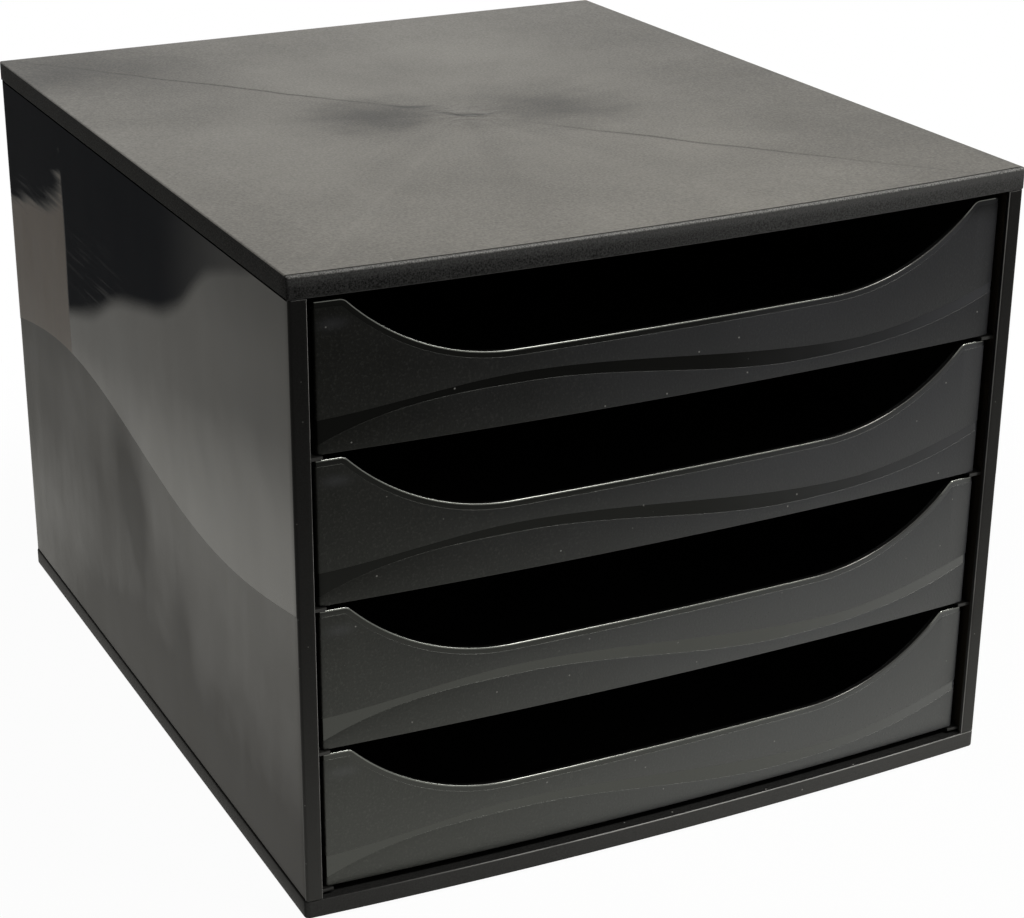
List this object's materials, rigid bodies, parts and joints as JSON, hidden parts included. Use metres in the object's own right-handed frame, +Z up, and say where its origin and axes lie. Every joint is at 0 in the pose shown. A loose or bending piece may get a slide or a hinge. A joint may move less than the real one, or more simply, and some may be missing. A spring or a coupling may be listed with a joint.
{
  "type": "letter tray stack with drawers",
  "caption": "Desk letter tray stack: a bow-fronted snap-together plastic case with open drawers, each with a swooping finger cut-out, sliding on moulded runner rails.",
  "frame": {"origin": "on the resting plane, below the middle of the case's overall width and depth", "axes": "+Z up; the drawers open towards -Y; +X to the right seen from the front"},
  "size_m": [0.284, 0.333, 0.236],
  "materials": {
    "case_top": "fine grained satin anthracite polystyrene",
    "case_base": "fine grained satin anthracite polystyrene",
    "case_side": "polished anthracite polystyrene with a wave in relief",
    "case_back": "satin anthracite polystyrene",
    "drawer": "satin anthracite polystyrene with waves in relief",
    "foot": "matt black rubber"
  },
  "bodies": {
    "case": {"top_panel": "case_top", "bottom_panel": "case_base", "left_side_panel": "case_side", "right_side_panel": "case_side", "back_panel": "case_back", "foot_front_left": "foot", "foot_front_right": "foot", "foot_back_left": "foot", "foot_back_right": "foot"},
    "drawer_1": {"drawer_1": "drawer"},
    "drawer_2": {"drawer_2": "drawer"},
    "drawer_3": {"drawer_3": "drawer"},
    "drawer_4": {"drawer_4": "drawer"}
  },
  "joints": [
    {"name": "drawer_1_slide", "type": "slide", "parent": "case", "child": "drawer_1", "axis": [0, -1, 0], "range_m": [0, 0.235]},
    {"name": "drawer_2_slide", "type": "slide", "parent": "case", "child": "drawer_2", "axis": [0, -1, 0], "range_m": [0, 0.235]},
    {"name": "drawer_3_slide", "type": "slide", "parent": "case", "child": "drawer_3", "axis": [0, -1, 0], "range_m": [0, 0.235]},
    {"name": "drawer_4_slide", "type": "slide", "parent": "case", "child": "drawer_4", "axis": [0, -1, 0], "range_m": [0, 0.235]}
  ]
}
